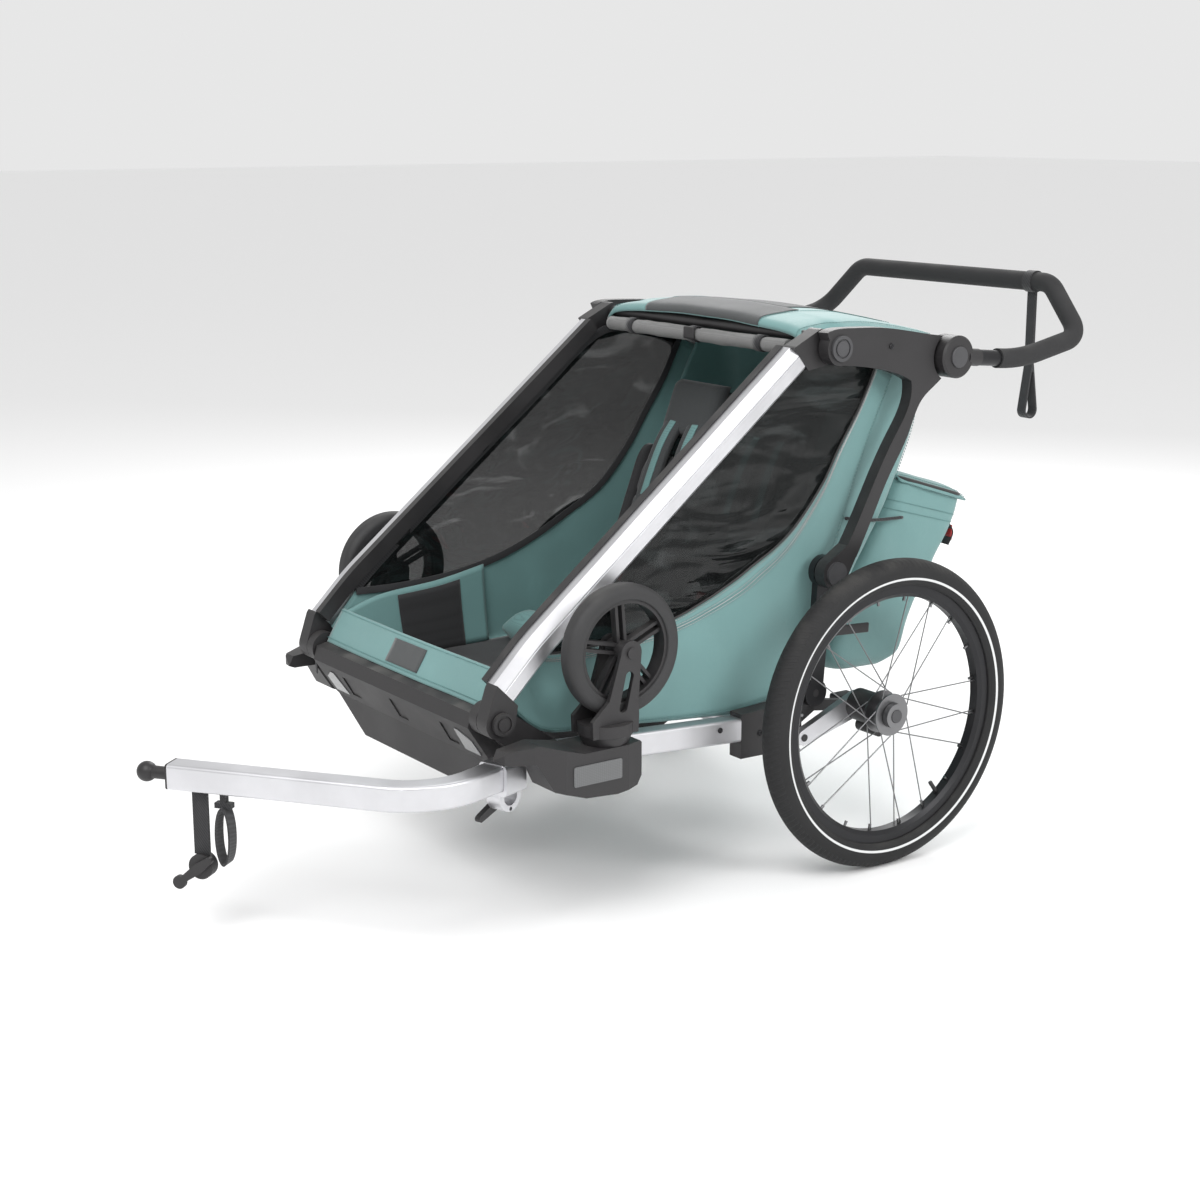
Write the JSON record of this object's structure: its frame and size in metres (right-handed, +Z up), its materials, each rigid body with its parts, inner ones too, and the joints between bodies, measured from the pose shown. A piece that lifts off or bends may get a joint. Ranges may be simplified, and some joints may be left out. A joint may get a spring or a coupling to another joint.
{
  "type": "child bicycle trailer",
  "caption": "Two-seat child bicycle trailer with folding aluminium frame, spoked wheels, stowed casters, tow arm, push handlebar and rear cargo bag.",
  "frame": {"origin": "on the ground, at the middle of the outline seen from above", "axes": "-Y is the direction of travel, +X the trailer's left, +Z up"},
  "size_m": [0.797, 1.584, 0.9134],
  "materials": {
    "silver_aluminium": "satin anodised",
    "black_plastic": "fine-textured black",
    "grey_plastic": "dark grey caps and buttons",
    "black_alloy": "satin black anodised or powder coated",
    "brushed_hub": "turned metal",
    "spoke_steel": "drawn wire",
    "tyre_rubber": "black rubber with a pale reflective stripe",
    "foam_grip": "closed-cell foam",
    "teal_fabric": "coated woven polyester",
    "grey_fabric": "woven padding",
    "dark_fabric": "coarse woven nylon",
    "webbing": "flat ribbed strap",
    "reflector": "pale prismatic reflector"
  },
  "bodies": {
    "chassis": {"base_tubes": "silver_aluminium", "corner_brackets": "black_plastic", "front_hinge_housings": "black_plastic", "left_wing": "black_plastic", "right_wing": "black_plastic", "front_bumper": "black_plastic", "reflectors": "reflector", "tow_arm_socket": "silver_aluminium", "front_band": "teal_fabric", "floor_panel": "dark_fabric", "seat_cushion": "grey_fabric", "seat_back": "grey_fabric", "side_panels": "teal_fabric", "cargo_bag": "teal_fabric"},
    "cargo_lid": {"cargo_lid": "teal_fabric"},
    "brake_pedal": {"brake_pedal": "black_plastic"},
    "front_frame": {"front_arms": "silver_aluminium", "arm_knuckles": "black_plastic", "arm_trims": "black_plastic", "cover_roll": "grey_fabric"},
    "rear_frame": {"shoulder_frame": "black_plastic", "pivot_pins": "grey_plastic", "roof_canopy": "teal_fabric"},
    "lower_struts": {"lower_struts": "black_alloy"},
    "handlebar": {"handlebar_tube": "black_alloy", "handlebar_grip": "foam_grip", "handlebar_hubs": "black_plastic", "wrist_strap": "webbing"},
    "tow_arm": {"tow_arm": "silver_aluminium", "hitch_ball": "black_plastic", "hitch_strap": "webbing", "hitch_cup": "black_plastic"},
    "hitch_lever": {"hitch_lever": "black_plastic"},
    "tow_lock_lever": {"tow_lock_lever": "black_plastic"},
    "left_handle_button": {"left_handle_button": "grey_plastic"},
    "left_wing_button": {"left_wing_button": "grey_plastic"},
    "left_suspension": {"left_suspension_arm": "silver_aluminium", "left_axle_housing": "black_plastic"},
    "left_wheel": {"left_tyre": "tyre_rubber", "left_rim": "black_alloy", "left_spokes": "spoke_steel", "left_hub": "brushed_hub"},
    "left_hub_button": {"left_hub_button": "grey_plastic"},
    "left_caster_mount": {"left_caster_housing": "black_plastic"},
    "left_caster_fork": {"left_caster_fork": "black_plastic"},
    "left_caster_wheel": {"left_caster_wheel": "black_plastic", "left_caster_tyre": "tyre_rubber"},
    "right_handle_button": {"right_handle_button": "grey_plastic"},
    "right_wing_button": {"right_wing_button": "grey_plastic"},
    "right_suspension": {"right_suspension_arm": "silver_aluminium", "right_axle_housing": "black_plastic"},
    "right_wheel": {"right_tyre": "tyre_rubber", "right_rim": "black_alloy", "right_spokes": "spoke_steel", "right_hub": "brushed_hub"},
    "right_hub_button": {"right_hub_button": "grey_plastic"},
    "right_caster_mount": {"right_caster_housing": "black_plastic"},
    "right_caster_fork": {"right_caster_fork": "black_plastic"},
    "right_caster_wheel": {"right_caster_wheel": "black_plastic", "right_caster_tyre": "tyre_rubber"}
  },
  "joints": [
    {"name": "frame_fold", "type": "hinge", "parent": "chassis", "child": "front_frame", "pos_m": [0, -0.369, 0.327], "axis": [-1, 0, 0], "range_deg": [0, 22.5], "deforming": ["side_panels", "seat_back"]},
    {"name": "shoulder_fold", "type": "hinge", "parent": "front_frame", "child": "rear_frame", "pos_m": [0, 0.236, 0.825], "axis": [-1, 0, 0], "range_deg": [0, 40.8], "deforming": ["roof_canopy"]},
    {"name": "strut_fold", "type": "hinge", "parent": "chassis", "child": "lower_struts", "pos_m": [0, 0.223, 0.276], "axis": [1, 0, 0], "range_deg": [0, 56.47]},
    {"name": "handlebar_tilt", "type": "hinge", "parent": "rear_frame", "child": "handlebar", "pos_m": [0, 0.471, 0.798], "axis": [1, 0, 0], "range_deg": [-35, 90]},
    {"name": "cargo_lid_lift", "type": "hinge", "parent": "chassis", "child": "cargo_lid", "pos_m": [0, 0.446, 0.599], "axis": [1, 0, 0], "range_deg": [0, 65]},
    {"name": "brake_pedal_press", "type": "hinge", "parent": "chassis", "child": "brake_pedal", "pos_m": [0, 0.215, 0.248], "axis": [-1, 0, 0], "range_deg": [0, 15]},
    {"name": "tow_arm_slide", "type": "slide", "parent": "chassis", "child": "tow_arm", "axis": [0.318, -0.9481, 0], "range_m": [0, 0.06]},
    {"name": "tow_lock_turn", "type": "hinge", "parent": "chassis", "child": "tow_lock_lever", "pos_m": [0.282, -0.36186, 0.199], "axis": [0.9481, 0.318, 0], "range_deg": [-45, 0]},
    {"name": "hitch_lever_turn", "type": "hinge", "parent": "tow_arm", "child": "hitch_lever", "pos_m": [0.04354, -0.72573, 0.116], "axis": [-0.6104, 0.7921, 0], "range_deg": [-20, 60]},
    {"name": "left_handle_button_press", "type": "slide", "parent": "handlebar", "child": "left_handle_button", "axis": [-1, 0, 0], "range_m": [0, 0.003], "stiffness_N_per_m": 800, "springref_m": -0.002},
    {"name": "left_wing_button_press", "type": "slide", "parent": "chassis", "child": "left_wing_button", "axis": [0, -1, 0], "range_m": [0, 0.004], "stiffness_N_per_m": 800, "springref_m": -0.002},
    {"name": "left_suspension_swing", "type": "hinge", "parent": "chassis", "child": "left_suspension", "pos_m": [0, 0.187, 0.212], "axis": [1, 0, 0], "range_deg": [0, 8], "stiffness_Nm_per_rad": 120, "springref_deg": -17.19},
    {"name": "left_wheel_spin", "type": "hinge", "parent": "left_suspension", "child": "left_wheel", "pos_m": [0.375, 0.299, 0.25], "axis": [1, 0, 0], "continuous": true},
    {"name": "left_hub_button_press", "type": "slide", "parent": "left_wheel", "child": "left_hub_button", "axis": [-1, 0, 0], "range_m": [0, 0.003], "stiffness_N_per_m": 400, "springref_m": -0.002},
    {"name": "left_caster_lift", "type": "slide", "parent": "chassis", "child": "left_caster_mount", "axis": [0, 0, 1], "range_m": [0, 0.045]},
    {"name": "left_caster_swivel", "type": "hinge", "parent": "left_caster_mount", "child": "left_caster_fork", "pos_m": [0.333, -0.219, 0.25], "axis": [0, 0, 1], "range_deg": [-5, 5]},
    {"name": "left_caster_spin", "type": "hinge", "parent": "left_caster_fork", "child": "left_caster_wheel", "pos_m": [0.333, -0.192, 0.42], "axis": [1, 0, 0], "continuous": true},
    {"name": "right_handle_button_press", "type": "slide", "parent": "handlebar", "child": "right_handle_button", "axis": [1, 0, 0], "range_m": [0, 0.003], "stiffness_N_per_m": 800, "springref_m": -0.002},
    {"name": "right_wing_button_press", "type": "slide", "parent": "chassis", "child": "right_wing_button", "axis": [0, -1, 0], "range_m": [0, 0.004], "stiffness_N_per_m": 800, "springref_m": -0.002},
    {"name": "right_suspension_swing", "type": "hinge", "parent": "chassis", "child": "right_suspension", "pos_m": [0, 0.187, 0.212], "axis": [1, 0, 0], "range_deg": [0, 8], "stiffness_Nm_per_rad": 120, "springref_deg": -17.19},
    {"name": "right_wheel_spin", "type": "hinge", "parent": "right_suspension", "child": "right_wheel", "pos_m": [-0.375, 0.299, 0.25], "axis": [1, 0, 0], "continuous": true},
    {"name": "right_hub_button_press", "type": "slide", "parent": "right_wheel", "child": "right_hub_button", "axis": [1, 0, 0], "range_m": [0, 0.003], "stiffness_N_per_m": 400, "springref_m": -0.002},
    {"name": "right_caster_lift", "type": "slide", "parent": "chassis", "child": "right_caster_mount", "axis": [0, 0, 1], "range_m": [0, 0.045]},
    {"name": "right_caster_swivel", "type": "hinge", "parent": "right_caster_mount", "child": "right_caster_fork", "pos_m": [-0.333, -0.219, 0.25], "axis": [0, 0, 1], "range_deg": [-5, 5]},
    {"name": "right_caster_spin", "type": "hinge", "parent": "right_caster_fork", "child": "right_caster_wheel", "pos_m": [-0.333, -0.192, 0.42], "axis": [1, 0, 0], "continuous": true}
  ],
  "couplings": [
    {"joint": "shoulder_fold", "follows": "frame_fold", "ratio": 1.8131},
    {"joint": "strut_fold", "follows": "frame_fold", "ratio": 2.5097}
  ]
}
